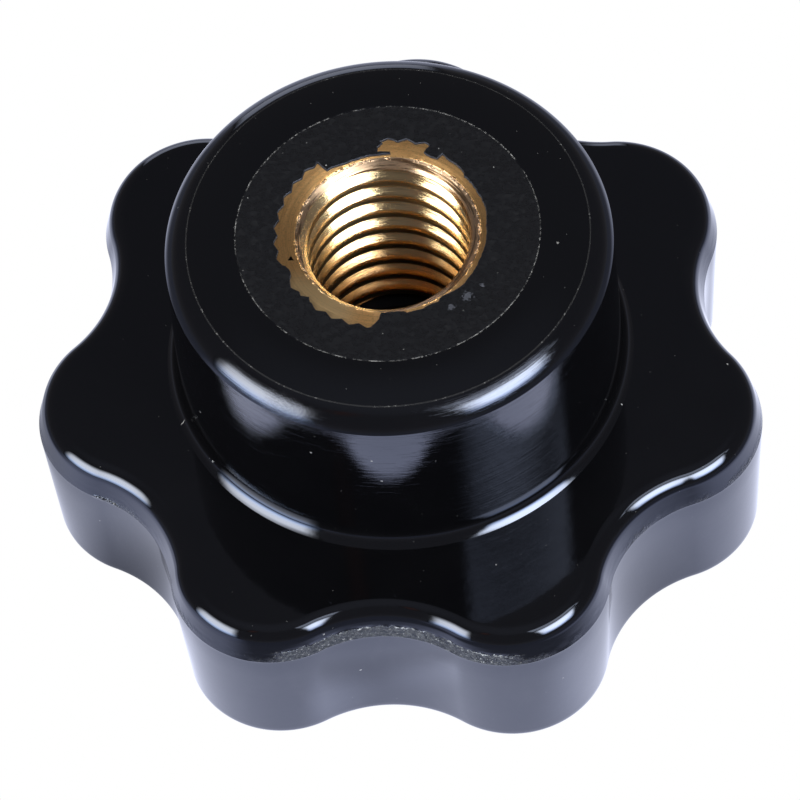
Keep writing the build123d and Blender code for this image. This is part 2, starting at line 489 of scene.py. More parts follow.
    # film edge and the cavity that grips the insert
    for k in range(len(lip) - 1):
        s.bridge(lip[k], lip[k + 1])
    s.bridge(l_bot, lip[0])
    cav = [(x, y) for x, y in knurl_points(0.012)]
    c_top = s.ring([(x, y, INSERT_TOP_Z - 0.012) for x, y in cav])
    c_bot = s.ring([(x, y, INSERT_BOT_Z - 0.005) for x, y in cav])
    in_cav, in_win = inside(cav), inside(win)
    s.plane([l_bot, c_top], lambda x, y: in_cav(x, y) and not in_win(x, y), False)
    s.bridge(c_bot, c_top)
    pocket = [2 * math.pi * k / 96 for k in range(96)]
    p_top = s.ring([(POCKET_R * math.cos(a), POCKET_R * math.sin(a), INSERT_BOT_Z - 0.005) for a in pocket])
    p_bot = s.ring([(POCKET_R * math.cos(a), POCKET_R * math.sin(a), INSERT_BOT_Z - POCKET_LEN) for a in pocket])
    s.plane([c_bot, p_top], lambda x, y: in_cav(x, y) and math.hypot(x, y) > POCKET_R * 0.9995, True)
    s.bridge(p_bot, p_top)
    s.plane([p_bot], lambda x, y: math.hypot(x, y) < POCKET_R, True)
    return s.build("knob_body_shell", 32)


# ---- threaded insert --------------------------------------------------------
CREST = 0.573 / PITCH / 2          # half the crest flat, in pitches
ROOT = 0.1875 / PITCH / 2
CREST_UP = 0.140                   # the same on its worn upper side


def thread_depth(u):
    """0 at the crest, 1 at the root, u in pitches from the crest's middle."""
    u = (u + 0.5) % 1.0 - 0.5
    c = CREST_UP if u > 0 else CREST
    return min(1.0, max(0.0, (abs(u) - c) / (0.5 - ROOT - c)))


# the mouth's countersink, a little hollow: height below the face, radius
CONE = [(0.0, MOUTH_R), (0.25, 4.47), (MOUTH_DROP, MINOR_R)]


def cone_r(drop):
    for (d0, r0), (d1, r1) in zip(CONE, CONE[1:]):
        if drop <= d1:
            return r0 + (r1 - r0) * max(0.0, drop - d0) / (d1 - d0)
    return 0.0


def bore_r(a, z):
    u = (z - INSERT_BOT_Z) / PITCH - a / (2 * math.pi) - THREAD_TURN
    # rounded corners: a short average of the profile, wider at the crest's top
    wide = 2.4 if 0.0 < (u + 0.5) % 1.0 - 0.5 < 0.33 else 1.0
    d = 0.0
    for k, w in ((-0.036, 0.2), (-0.016, 0.25), (0.0, 0.1), (0.016, 0.25), (0.036, 0.2)):
        d += w * thread_depth(u + k * wide)
    r = MINOR_R + (MAJOR_R - MINOR_R) * d
    # tool marks that run along the thread
    r += 0.004 * nz(u * 9.0 + 40 * math.floor(u + 0.5), math.cos(a) * 0.7, math.sin(a) * 0.7, 8)
    drop = INSERT_TOP_Z - z
    c = cone_r(drop)
    # the mouth's upper edge is burred
    if drop < 0.2:
        c += 0.010 * nz(math.cos(a) * 22, math.sin(a) * 22, drop * 6, 6) * (1 - drop / 0.2)
    return max(min(r, MOUTH_R - 0.012), min(c, MOUTH_R - 0.002))


def make_insert():
    s = Shell()
    n = 264
    ang = [2 * math.pi * i / n for i in range(n)]

    def vert(a, z):
        r = bore_r(a, z)
        return (r * math.cos(a), r * math.sin(a), z)

    top = s.ring([(MOUTH_R * math.cos(a), MOUTH_R * math.sin(a), INSERT_TOP_Z) for a in ang])
    bot = s.ring([vert(a, INSERT_BOT_Z) for a in ang])
    # rows placed closer at the crest's and the root's corners
    phases = []
    marks = (-0.5, -0.5 + ROOT * 0.8, -0.5 + ROOT * 1.6, -CREST * 1.25, -CREST * 1.08,
             -CREST * 0.92, -CREST * 0.75, 0.0, 0.055, 0.10, CREST_UP,
             0.185, 0.24, 0.5 - ROOT * 1.6, 0.5 - ROOT * 0.8)
    for k, m in enumerate(marks):
        nxt = marks[k + 1] if k + 1 < len(marks) else 0.5
        extra = 4 if nxt - m > 0.12 else 2
        for e in range(extra):
            phases.append(m + (nxt - m) * e / extra)
    per = len(phases)
    turns = int(math.ceil(13.0 / PITCH)) + 3
    rows = turns * per
    base = INSERT_BOT_Z + THREAD_TURN * PITCH - PITCH * 2.0

    def index(i, j):
        # column i may be n, which is column 0 one turn of rows later
        a = ang[i]
        z = base + PITCH * (j // per + phases[j % per] + i / n)
        if z >= INSERT_TOP_Z:
            return top[i]
        if z <= INSERT_BOT_Z:
            return bot[i]
        return s.add(vert(a, z))

    grid = [[index(i, j) for j in range(rows)] for i in range(n)]
    for i in range(n):
        for j in range(rows - 1):
            if i + 1 < n:
                a, b = grid[i + 1][j], grid[i + 1][j + 1]
            else:
                ja, jb = j + per, j + 1 + per
                a = grid[0][ja] if ja < rows else top[0]
                b = grid[0][jb] if jb < rows else top[0]
            s.face((grid[i][j], grid[i][j + 1], b, a))
    kn = knurl_points(0.0)
    k_top = s.ring([(x, y, INSERT_TOP_Z) for x, y in kn])
    k_bot = s.ring([(x, y, INSERT_BOT_Z) for x, y in kn])
    in_kn = inside(kn)
    mouth = inside([(s.v[i][0], s.v[i][1]) for i in top])
    hole = inside([(s.v[i][0], s.v[i][1]) for i in bot])
    s.plane([top, k_top], lambda x, y: in_kn(x, y) and not mouth(x, y), True)
    s.plane([bot, k_bot], lambda x, y: in_kn(x, y) and not hole(x, y), False)
    s.bridge(k_top, k_bot)
    return s.build("threaded_insert_turned", 38)


body = make_body()
insert = make_insert()


# ---- node helper ------------------------------------------------------------
class Nodes:
    def __init__(self, name):
        self.mat = bpy.data.materials.new(name)
        self.mat.use_nodes = True
        self.t = self.mat.node_tree
        self.t.nodes.clear()
        self.out = self.t.nodes.new("ShaderNodeOutputMaterial")

    def link(self, a, b):
        self.t.links.new(a, b)

    def put(self, sock, val):
        if isinstance(val, bpy.types.NodeSocket):
            self.link(val, sock)
        else:
            sock.default_value = val

    def math(self, op, a, b=0.0, c=0.0, clamp=False):
        n = self.t.nodes.new("ShaderNodeMath")
        n.operation = op
        n.use_clamp = clamp
        self.put(n.inputs[0], a)
        self.put(n.inputs[1], b)
        self.put(n.inputs[2], c)
        return n.outputs[0]

    def add(self, a, b):
        return self.math("ADD", a, b)

    def sub(self, a, b):
        return self.math("SUBTRACT", a, b)

    def mul(self, a, b):
        return self.math("MULTIPLY", a, b)

    def step(self, x, e0, e1):
        """Smooth step from 0 at e0 to 1 at e1; e0 may be the larger."""
        n = self.t.nodes.new("ShaderNodeMapRange")
        n.interpolation_type = "SMOOTHSTEP"
        self.put(n.inputs["Value"], x)
        if e0 < e1:
            n.inputs["From Min"].default_value = e0
            n.inputs["From Max"].default_value = e1
            n.inputs["To Min"].default_value = 0.0
            n.inputs["To Max"].default_value = 1.0
        else:
            n.inputs["From Min"].default_value = e1
            n.inputs["From Max"].default_value = e0
            n.inputs["To Min"].default_value = 1.0
            n.inputs["To Max"].default_value = 0.0
        return n.outputs["Result"]

    def remap(self, x, a0, a1, b0, b1):
        n = self.t.nodes.new("ShaderNodeMapRange")
        self.put(n.inputs["Value"], x)
        for k, v in (("From Min", a0), ("From Max", a1), ("To Min", b0), ("To Max", b1)):
            n.inputs[k].default_value = v
        return n.outputs["Result"]

    def object_mm(self):
        tc = self.t.nodes.new("ShaderNodeTexCoord")
        n = self.t.nodes.new("ShaderNodeVectorMath")
        n.operation = "SCALE"
        self.link(tc.outputs["Object"], n.inputs[0])
        n.inputs["Scale"].default_value = 1000.0
        return n.outputs[0]

    def scale3(self, v, s):
        n = self.t.nodes.new("ShaderNodeVectorMath")
        n.operation = "MULTIPLY"
        self.link(v, n.inputs[0])
        n.inputs[1].default_value = s
        return n.outputs[0]

    def shift3(self, v, s):
        n = self.t.nodes.new("ShaderNodeVectorMath")
        n.operation = "ADD"
        self.link(v, n.inputs[0])
        n.inputs[1].default_value = s
        return n.outputs[0]

    def xyz(self, v):
        n = self.t.nodes.new("ShaderNodeSeparateXYZ")
        self.link(v, n.inputs[0])
        return n.outputs[0], n.outputs[1], n.outputs[2]

    def vec(self, x, y, z):
        n = self.t.nodes.new("ShaderNodeCombineXYZ")
        for k, v in enumerate((x, y, z)):
            self.put(n.inputs[k], v)
        return n.outputs[0]

    def noise(self, v, scale, detail=2.0, rough=0.5, distort=0.0):
        n = self.t.nodes.new("ShaderNodeTexNoise")
        self.link(v, n.inputs["Vector"])
        n.inputs["Scale"].default_value = scale
        n.inputs["Detail"].default_value = detail
        n.inputs["Roughness"].default_value = rough
        n.inputs["Distortion"].default_value = distort
        return n.outputs["Fac"]

    def voronoi(self, v, scale, random=1.0):
        n = self.t.nodes.new("ShaderNodeTexVoronoi")
        self.link(v, n.inputs["Vector"])
        n.inputs["Scale"].default_value = scale
        n.inputs["Randomness"].default_value = random
        return n.outputs["Distance"], n.outputs["Color"]

    def mixf(self, f, a, b):
        n = self.t.nodes.new("ShaderNodeMix")
        n.data_type = "FLOAT"
        self.put(n.inputs["Factor"], f)
        self.put(n.inputs["A"], a)
        self.put(n.inputs["B"], b)
        return n.outputs["Result"]

    def mixc(self, f, a, b):
        n = self.t.nodes.new("ShaderNodeMix")
        n.data_type = "RGBA"
        fac = [i for i in n.inputs if i.identifier == "Factor_Float"][0]
        ca = [i for i in n.inputs if i.identifier == "A_Color"][0]
        cb = [i for i in n.inputs if i.identifier == "B_Color"][0]
        self.put(fac, f)
        for sock, c in ((ca, a), (cb, b)):
            if isinstance(c, bpy.types.NodeSocket):
                self.link(c, sock)
            else:
                sock.default_value = (*c, 1.0)
        return [o for o in n.outputs if o.identifier == "Result_Color"][0]

    def bump(self, height, dist, strength=1.0, normal=None):
        n = self.t.nodes.new("ShaderNodeBump")
        n.inputs["Strength"].default_value = strength
        n.inputs["Distance"].default_value = dist
        self.link(height, n.inputs["Height"])
        if normal is not None:
            self.link(normal, n.inputs["Normal"])
        return n.outputs["Normal"]

    def principled(self):
        n = self.t.nodes.new("ShaderNodeBsdfPrincipled")
        self.link(n.outputs[0], self.out.inputs["Surface"])
        return n


# ---- black phenolic ---------------------------------------------------------
def phenolic():
    m = Nodes("black_phenolic_gloss")
    p = m.object_mm()
    x, y, z = m.xyz(p)
    r = m.math("SQRT", m.add(m.mul(x, x), m.mul(y, y)))
    face = m.mul(m.step(z, HUB_Z - 0.40, HUB_Z - 0.36), m.step(r, CROWN_R + 0.03, CROWN_R - 0.03))
    # the film's own edge: kept clean of the inner face's scuffs, and rough
    lip = m.mul(m.step(r, 6.75, 6.65), m.step(z, HUB_Z - 0.0015, HUB_Z - 0.006))
    inner = m.mul(m.mul(face, m.step(r, WITNESS_R + 0.01, WITNESS_R - 0.05)), m.sub(1.0, lip))
    outer = m.mul(face, m.step(r, WITNESS_R - 0.05, WITNESS_R + 0.01))

    # thin broken witness line and the dotted one at the shoulder
    grit = m.noise(p, 5.5, 3.0, 0.65)
    grit2 = m.noise(p, 1.1, 2.0, 0.5)
    line_w = m.math("ABSOLUTE", m.sub(r, WITNESS_R))
    ring_a = m.mul(m.mul(m.step(line_w, 0.046, 0.012), face),
                   m.mul(m.step(grit, 0.40, 0.64), m.step(grit2, 0.34, 0.60)))
    line_b = m.math("ABSOLUTE", m.sub(r, CROWN_R - 0.02))
    dots = m.noise(m.shift3(p, (31.0, 7.0, 3.0)), 6.5, 2.0, 0.5)
    ring_b = m.mul(m.mul(m.step(line_b, 0.050, 0.015), m.step(z, 21.3, 21.4)),
                   m.mixf(m.mul(m.step(dots, 0.58, 0.68), m.step(grit2, 0.36, 0.60)), 0.14, 1.0))

    # dust: small bright specks, few on the gloss, more on the scuffed face
    d1, c1 = m.voronoi(p, 0.62)
    cr, cg, _ = m.xyz(c1)
    speck = m.mul(m.step(d1, 0.050, 0.028), m.step(cr, 0.55, 0.60))
    d2, c2 = m.voronoi(m.shift3(p, (11.0, 5.0, 2.0)), 1.7)
    cr2, cg2, _ = m.xyz(c2)
    speck2 = m.mul(m.mul(m.step(d2, 0.075, 0.035), m.step(cr2, 0.72, 0.80)), m.mixf(inner, 0.25, 1.0))

    def near_to(cx, cy, size, ragged=1.0):
        dx, dy = m.sub(x, cx), m.sub(y, cy)
        d = m.add(m.math("SQRT", m.add(m.mul(dx, dx), m.mul(dy, dy))),
                  m.mul(m.sub(grit, 0.5), size * 4.0 * ragged))
        return m.step(d, size, size * 0.65)

    # a few loose bits of torn film near the bore, and single dust grains
    bits = m.mul(face, near_to(4.42, -3.98, 0.30))
    bits = m.math("MAXIMUM", bits, m.mul(face, near_to(3.62, -4.66, 0.20)))
    bits = m.math("MAXIMUM", bits, m.mul(face, near_to(5.16, -3.30, 0.13)))
    low = m.mul(m.step(z, 10.6, 10.4), m.step(r, 13.6, 13.4))
    dust = m.mul(low, m.math("MAXIMUM", near_to(12.12, -3.36, 0.055, 0.15), near_to(10.65, -4.33, 0.050, 0.15)))
    # a short scratch on the head, to the left of the hub
    sa = m.add(m.mul(m.add(x, 11.47), 0.76), m.mul(m.add(y, 4.79), 0.65))
    sb = m.add(m.mul(m.add(x, 11.47), -0.65), m.mul(m.add(y, 4.79), 0.76))
    nick_line = m.mul(m.step(m.math("ABSOLUTE", sa), 0.24, 0.12), m.step(m.math("ABSOLUTE", sb), 0.045, 0.020))
    dust = m.math("MAXIMUM", dust, m.mul(m.step(z, 10.6, 10.4), nick_line))

    # scuffs of the worn inner face
    scuff_v = m.scale3(p, (1.2, 1.7, 1.0))
    scuff = m.noise(scuff_v, 2.4, 5.0, 0.68, 0.6)
    scuff_m = m.mul(inner, m.step(scuff, 0.50, 0.72))

    # filed moulding flash above the parting line, across the front scallop
    side = m.mul(m.step(x, -6.2, -4.9), m.step(x, 7.6, 6.3))
    front = m.mul(side, m.step(y, -9.0, -12.0))
    jag = m.mul(m.sub(m.noise(p, 2.6, 3.0, 0.6), 0.5), 0.5)
    zz = m.add(z, jag)
    height = m.mul(m.step(z, PARTING_Z - 0.005, PARTING_Z + 0.02), m.step(zz, 9.12, 9.00))
    band = m.mul(front, height)
    # thin torn line along the band's upper edge
    torn = m.mul(m.step(m.math("ABSOLUTE", m.sub(zz, 9.06)), 0.060, 0.020),
                 m.step(m.noise(m.shift3(p, (2.0, 6.0, 5.0)), 3.4, 2.0, 0.6), 0.50, 0.60))
    torn = m.mul(torn, front)
    # a fainter rough line goes on round the other lobes
    thin = m.mul(m.step(z, PARTING_Z - 0.005, PARTING_Z + 0.02), m.step(zz, PARTING_Z + 0.55, PARTING_Z + 0.10))
    patch = m.noise(p, 0.22, 2.0, 0.5)
    faint = m.mul(m.mul(thin, m.step(patch, 0.46, 0.60)), m.step(y, 4.0, -2.0))
    grain = m.noise(p, 5.0, 4.0, 0.72)
    flecks = m.step(m.noise(m.shift3(p, (4.0, 9.0, 1.0)), 8.0, 3.0, 0.7), 0.60, 0.70)
    pits = m.step(m.noise(m.shift3(p, (8.0, 2.0, 6.0)), 4.0, 3.0, 0.6), 0.40, 0.34)

    # colour
    tone = m.noise(p, 0.35, 1.0, 0.5)
    col = m.mixc(tone, (0.0012, 0.0012, 0.0015), (0.0020, 0.0020, 0.0024))
    col = m.mixc(outer, col, (0.0011, 0.0011, 0.0012))
    col = m.mixc(inner, col, (0.0037, 0.0036, 0.0036))
    col = m.mixc(m.mul(scuff_m, 0.6), col, (0.012, 0.012, 0.012))
    # faint smudges and handling marks on the grip wall
    smudge = m.mul(m.mul(m.step(z, 8.2, 8.0), m.step(r, 14.0, 15.0)),
                   m.step(m.noise(m.scale3(p, (1.0, 1.0, 0.45)), 0.55, 4.0, 0.62, 0.8), 0.50, 0.72))
    col = m.mixc(m.mul(smudge, 0.5), col, (0.010, 0.010, 0.011))
    band_col = m.mixc(m.step(grain, 0.38, 0.72), (0.006, 0.006, 0.007), (0.070, 0.072, 0.073))
    band_col = m.mixc(m.mul(pits, 0.90), band_col, (0.002, 0.002, 0.003))
    band_col = m.mixc(m.mul(flecks, 0.80), band_col, (0.42, 0.43, 0.45))
    col = m.mixc(band, col, band_col)
    col = m.mixc(m.mul(torn, 0.75), col, (0.30, 0.31, 0.33))
    col = m.mixc(m.mul(faint, 0.45), col, band_col)
    marks = m.math("MAXIMUM", m.mul(ring_a, 0.60), m.mul(ring_b, 0.36))
    marks = m.math("MAXIMUM", marks, m.mul(m.math("MAXIMUM", speck, speck2), 0.60))
    marks = m.math("MAXIMUM", marks, m.mul(dust, 0.65))
    col = m.mixc(m.mul(bits, 0.50), col, (0.085, 0.090, 0.115))
    col = m.mixc(marks, col, (0.33, 0.33, 0.34))

    # roughness
    hub = m.mul(m.step(z, 10.8, 11.4), m.step(r, CROWN_R, CROWN_R + 0.15))
    vary = m.noise(p, 0.8, 3.0, 0.6)
    rough = m.remap(vary, 0.3, 0.7, 0.045, 0.075)
    rough = m.mixf(hub, rough, m.remap(vary, 0.3, 0.7, 0.020, 0.040))
    rough = m.mixf(outer, rough, 0.09)
    rough = m.mixf(inner, rough, m.remap(scuff, 0.35, 0.7, 0.24, 0.36))
    rough = m.mixf(m.mul(smudge, 0.6), rough, 0.16)
    rough = m.mixf(lip, rough, 0.75)
    # a worn, speckled spot on the shoulder, and fine scratches that run round
    sx, sy = m.add(x, 5.3), m.add(y, 10.8)
    spot = m.step(m.math("SQRT", m.add(m.mul(sx, sx), m.mul(sy, sy))), 1.9, 0.5)
    spot = m.mul(spot, m.step(z, 20.0, 20.4))
    turn_at = m.math("ARCTAN2", y, x)
    down = m.sub(z, r)
    scratch = m.noise(m.vec(m.mul(turn_at, 4.0), m.mul(down, 16.0), 0.7), 1.0, 2.0, 0.5)
    near_side = m.step(y, -3.0, -6.5)
    scratch = m.mul(m.mul(hub, near_side), m.step(scratch, 0.64, 0.72))
    speckle = m.mul(spot, m.step(m.noise(p, 9.0, 2.0, 0.6), 0.46, 0.60))
    rough = m.mixf(m.mul(scratch, 0.35), rough, 0.18)
    rough = m.mixf(m.mul(spot, 0.7), rough, 0.24)
    rough = m.mixf(band, rough, 0.58)
    rough = m.mixf(m.mul(faint, 0.5), rough, 0.5)
    rough = m.mixf(marks, rough, 0.55)
    rough = m.mixf(m.mul(bits, 0.8), rough, 0.42)

    # relief: fine turning marks of the mould on the hub's wall and shoulder,
    # a slight orange peel, scuffs, and the grain of the filed band
    turned = m.noise(m.vec(m.mul(x, 0.10), m.mul(y, 0.10), m.mul(down, 5.0)), 1.6, 5.0, 0.62)
    turned2 = m.noise(m.vec(m.mul(turn_at, 1.6), m.mul(down, 13.0), 3.1), 1.0, 3.0, 0.6)
    peel = m.noise(p, 1.2, 2.0, 0.5)
    shoulder = m.mixf(m.step(z, 19.8, 20.6), 1.0, 1.9)
    h = m.mul(m.add(turned, m.mul(turned2, 0.6)), m.mul(m.mul(hub, shoulder), m.mixf(near_side, 0.3, 1.0)))
    h = m.add(h, m.mul(m.add(speckle, m.mul(scratch, 0.20)), 1.1))
    # a nick in the parting line on the left lobe
    nx_, ny_ = m.add(x, 15.55), m.add(y, 8.52)
    nick = m.step(m.math("SQRT", m.add(m.mul(nx_, nx_), m.mul(ny_, ny_))), 0.95, 0.45)
    nick_z = m.add(z, m.mul(jag, 0.9))
    nick = m.mul(nick, m.step(m.math("ABSOLUTE", m.sub(nick_z, 8.42)), 0.24, 0.12))
    nick = m.mul(nick, m.sub(1.0, m.step(nick_z, 8.25, 8.60)))
    relief = m.add(m.mul(h, 3.4), m.mul(peel, 3.0))
    relief = m.add(relief, m.mul(m.mul(scuff, inner), 8.0))
    relief = m.add(relief, m.mul(nick, 220.0))
    relief = m.add(relief, m.mul(m.mul(grain, m.math("MAXIMUM", band, m.mul(faint, 0.4))), 160.0))
    n4 = m.bump(relief, 0.000001, 1.0)

    b = m.principled()
    m.link(col, b.inputs["Base Color"])
    m.link(rough, b.inputs["Roughness"])
    m.link(n4, b.inputs["Normal"])
    b.inputs["IOR"].default_value = 1.70
    b.inputs["Specular IOR Level"].default_value = 0.5
    b.inputs["Specular Tint"].default_value = (0.66, 0.74, 1.0, 1.0)
    return m.mat


# ---- brass ------------------------------------------------------------------
def brass():
    m = Nodes("brass_machined")
    p = m.object_mm()
    x, y, z = m.xyz(p)
    r = m.math("SQRT", m.add(m.mul(x, x), m.mul(y, y)))
    flat = m.step(z, INSERT_TOP_Z - 0.03, INSERT_TOP_Z - 0.005)
    mouth = m.mul(m.step(z, INSERT_TOP_Z - MOUTH_DROP - 0.03, INSERT_TOP_Z - MOUTH_DROP + 0.02),
                  m.step(r, MOUTH_R + 0.02, MOUTH_R - 0.02))
    # phase along the thread: 0 in the middle of the crest
    turn_at = m.math("DIVIDE", m.math("ARCTAN2", y, x), 2 * math.pi)
    ph = m.sub(m.sub(m.math("DIVIDE", m.sub(z, INSERT_BOT_Z), PITCH), turn_at), THREAD_TURN)
    ph = m.sub(m.math("FRACT", m.add(ph, 0.5)), 0.5)
    # rings of the turning tool: noise that changes quickly with the radius
    turn = m.noise(m.vec(m.mul(r, 9.0), m.mul(x, 0.12), m.mul(y, 0.12)), 1.4, 5.0, 0.65)
    along = m.noise(m.vec(m.mul(ph, 26.0), m.mul(m.math("ARCTAN2", y, x), 1.2), m.mul(z, 0.1)), 1.0, 4.0, 0.65)
    along2 = m.noise(m.vec(m.mul(ph, 11.0), m.mul(m.math("ARCTAN2", y, x), 0.8), m.mul(z, 0.15)), 1.0, 2.0, 0.5)
    grain = m.noise(p, 9.0, 3.0, 0.7)
    cloud = m.noise(p, 0.9, 4.0, 0.6)
    hoop = m.noise(m.vec(m.mul(z, 16.0), m.mul(m.math("ARCTAN2", y, x), 2.4), 1.3), 1.0, 3.0, 0.6)
    # bright worn line along the crest's lower edge, broken up
    edge = m.mul(m.step(ph, -CREST - 0.055, -CREST - 0.005), m.step(ph, -CREST + 0.050, -CREST + 0.010))
    edge = m.mul(m.mul(edge, m.step(m.noise(p, 2.6, 3.0, 0.6), 0.36, 0.50)), m.sub(1.0, m.math("MAXIMUM", flat, mouth)))
    burr = m.mul(m.step(z, INSERT_TOP_Z - 0.10, INSERT_TOP_Z - 0.05), m.step(r, MOUTH_R + 0.06, MOUTH_R - 0.01))
    burr = m.mul(burr, m.step(m.noise(m.shift3(p, (3.0, 1.0, 7.0)), 3.2, 3.0, 0.7), 0.50, 0.62))

    col = m.mixc(cloud, (0.80, 0.60, 0.34), (0.90, 0.72, 0.46))
    # painted shade: the thread's colour darkens towards the bottom of the bore
    bore_shade = m.step(z, 18.5, 11.0)
    col = m.mixc(m.mul(bore_shade, 0.88), col, (0.45, 0.25, 0.11))
    crest = m.mul(m.step(ph, -CREST - 0.02, -CREST + 0.02), m.step(ph, CREST_UP - 0.02, CREST_UP - 0.09))
    crest = m.mul(crest, m.sub(1.0, m.math("MAXIMUM", flat, mouth)))
    # painted shade: the crest flat is coloured a darker brown than the rest of the thread
    col = m.mixc(m.mul(crest, 0.60), col, (0.46, 0.34, 0.20))
    lines = m.mul(m.step(along, 0.44, 0.34), m.sub(1.0, m.math("MAXIMUM", flat, mouth)))
    col = m.mixc(m.mul(lines, 0.65), col, (0.38, 0.26, 0.13))
    col = m.mixc(m.mul(mouth, 0.85), col, (0.62, 0.43, 0.31))
    col = m.mixc(m.mul(mouth, m.step(hoop, 0.50, 0.40)), col, (0.30, 0.19, 0.11))
    # painted shade: a dark line in the corner where the mouth's countersink meets the thread
    mouth_crease_shade = m.step(m.math("ABSOLUTE", m.sub(z, INSERT_TOP_Z - MOUTH_DROP - 0.02)), 0.075, 0.030)
    mouth_crease_shade = m.mul(mouth_crease_shade, m.step(m.noise(m.vec(m.mul(z, 6.0), m.mul(turn_at, 9.0), 4.0), 1.0, 2.0, 0.5), 0.36, 0.50))
    col = m.mixc(m.mul(mouth_crease_shade, 0.8), col, (0.26, 0.17, 0.09))
    face_col = m.mixc(cloud, (0.86, 0.47, 0.18), (0.94, 0.60, 0.28))
    face_col = m.mixc(m.mul(m.step(grain, 0.50, 0.34), 0.45), face_col, (0.42, 0.25, 0.11))
    face_col = m.mixc(m.mul(m.step(turn, 0.54, 0.40), 0.35), face_col, (0.50, 0.29, 0.12))
    # painted highlight: the end face is a lighter tan on its near left side
    face_col = m.mixc(m.mul(m.mul(m.step(x, -1.0, -2.6), m.step(y, -2.0, -3.6)), 0.65), face_col, (1.0, 0.78, 0.45))
    # a crumb of the moulding left on the flat
    cx, cy = m.add(x, 5.05), m.add(y, 1.65)
    crumb = m.math("MAXIMUM", m.mul(cy, -1.0), m.add(m.mul(cy, 0.55), m.mul(m.math("ABSOLUTE", cx), 0.85)))
    crumb = m.mul(flat, m.step(m.add(crumb, m.mul(m.sub(grain, 0.5), 0.10)), 0.115, 0.090))
    face_col = m.mixc(crumb, face_col, (0.012, 0.012, 0.012))
    col = m.mixc(flat, col, face_col)
    rough = m.remap(along, 0.3, 0.7, 0.08, 0.15)
    rough = m.add(rough, m.mul(m.step(x, -1.8, -3.8), m.remap(grain, 0.35, 0.65, 0.04, 0.16)))
    rough = m.mixf(crest, rough, 0.30)
    rough = m.mixf(edge, rough, 0.42)
    rough = m.mixf(mouth, rough, m.remap(hoop, 0.3, 0.7, 0.20, 0.34))
    rough = m.mixf(flat, rough, m.remap(turn, 0.3, 0.7, 0.30, 0.44))
    rough = m.mixf(burr, rough, 0.10)
    thread_h = m.add(m.add(m.mul(along, 0.6), m.mul(along2, 0.8)), m.mul(grain, 0.16))
    h = m.mixf(flat, m.mixf(mouth, thread_h, m.add(m.mul(hoop, 0.7), m.mul(grain, 0.12))), m.add(turn, m.mul(grain, 0.55)))
    b = m.principled()
    m.link(col, b.inputs["Base Color"])
    m.link(rough, b.inputs["Roughness"])
    n1 = m.bump(h, 0.000024, 1.0)
    m.link(m.bump(m.mul(burr, grain), 0.00010, 1.0, n1), b.inputs["Normal"])
    b.inputs["Metallic"].default_value = 1.0
    b.inputs["Anisotropic"].default_value = 0.55
    b.inputs["Anisotropic Rotation"].default_value = 0.25
    tg = m.t.nodes.new("ShaderNodeTangent")
    tg.direction_type = "RADIAL"
    tg.axis = "Z"
    m.link(tg.outputs[0], b.inputs["Tangent"])
    return m.mat


body.data.materials.append(phenolic())
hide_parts("knob_body")
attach(body, "root")
insert.data.materials.append(brass())
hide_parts("threaded_insert")
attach(insert, "root")


# ---- floor, backdrop and lights ---------------------------------------------
def emission(name, strength, colour=(1.0, 1.0, 1.0)):
    m = Nodes(name)
    e = m.t.nodes.new("ShaderNodeEmission")
    e.inputs["Color"].default_value = (*colour, 1.0)
    m.put(e.inputs["Strength"], strength)
    m.link(e.outputs[0], m.out.inputs["Surface"])
    return m


def disc(name, radius, z, rings=8, seg=96):
    v = [(0, 0, z)]
    f = []
    for k in range(1, rings + 1):
        rr = radius * (k / rings) ** 2
        for i in range(seg):
            a = 2 * math.pi * i / seg
            v.append((rr * math.cos(a), rr * math.sin(a), z))
    for i in range(seg):
        j = (i + 1) % seg
        f.append((0, 1 + i, 1 + j))
        for k in range(rings - 1):
            a, b = 1 + k * seg, 1 + (k + 1) * seg
            f.append((a + i, b + i, b + j, a + j))
    me = bpy.data.meshes.new(name)
    me.from_pydata(v, [], f)
    ob = bpy.data.objects.new(name, me)
    bpy.context.scene.collection.objects.link(ob)
    return ob


# what the camera sees of the table: plain, near white
floor = disc("floor", 3.0, -0.00003)
fm = Nodes("floor_pale")
em = fm.t.nodes.new("ShaderNodeEmission")
em.inputs["Strength"].default_value = 1.0
fm.link(em.outputs[0], fm.out.inputs["Surface"])
floor.data.materials.append(fm.mat)
fm.mat.cycles.emission_sampling = "NONE"
floor.visible_glossy = False
floor.visible_diffuse = False
floor.visible_transmission = False
floor.visible_shadow = False

# what the knob's gloss picks up of the same table, painted as a glowing floor: a painted
# pool of light close by, dimmer further out except towards the left light and the window behind
glow = disc("floor_glow", 3.0, -0.00006)
g = Nodes("floor_glow_light")
gp = g.object_mm()
gx, gy, gz = g.xyz(gp)
gr = g.math("SQRT", g.add(g.mul(gx, gx), g.mul(gy, gy)))
near = g.mixf(g.step(g.math("ABSOLUTE", gx), 20.0, 32.0), g.step(gr, 34.0, 24.0), g.step(gr, 60.0, 26.0))


def blob(cx, cy, size):
    """1 at a point of the floor, fading to 0 at the given distance."""
    dx, dy = g.sub(gx, cx), g.sub(gy, cy)
    return g.step(g.math("SQRT", g.add(g.mul(dx, dx), g.mul(dy, dy))), size, 0.0)


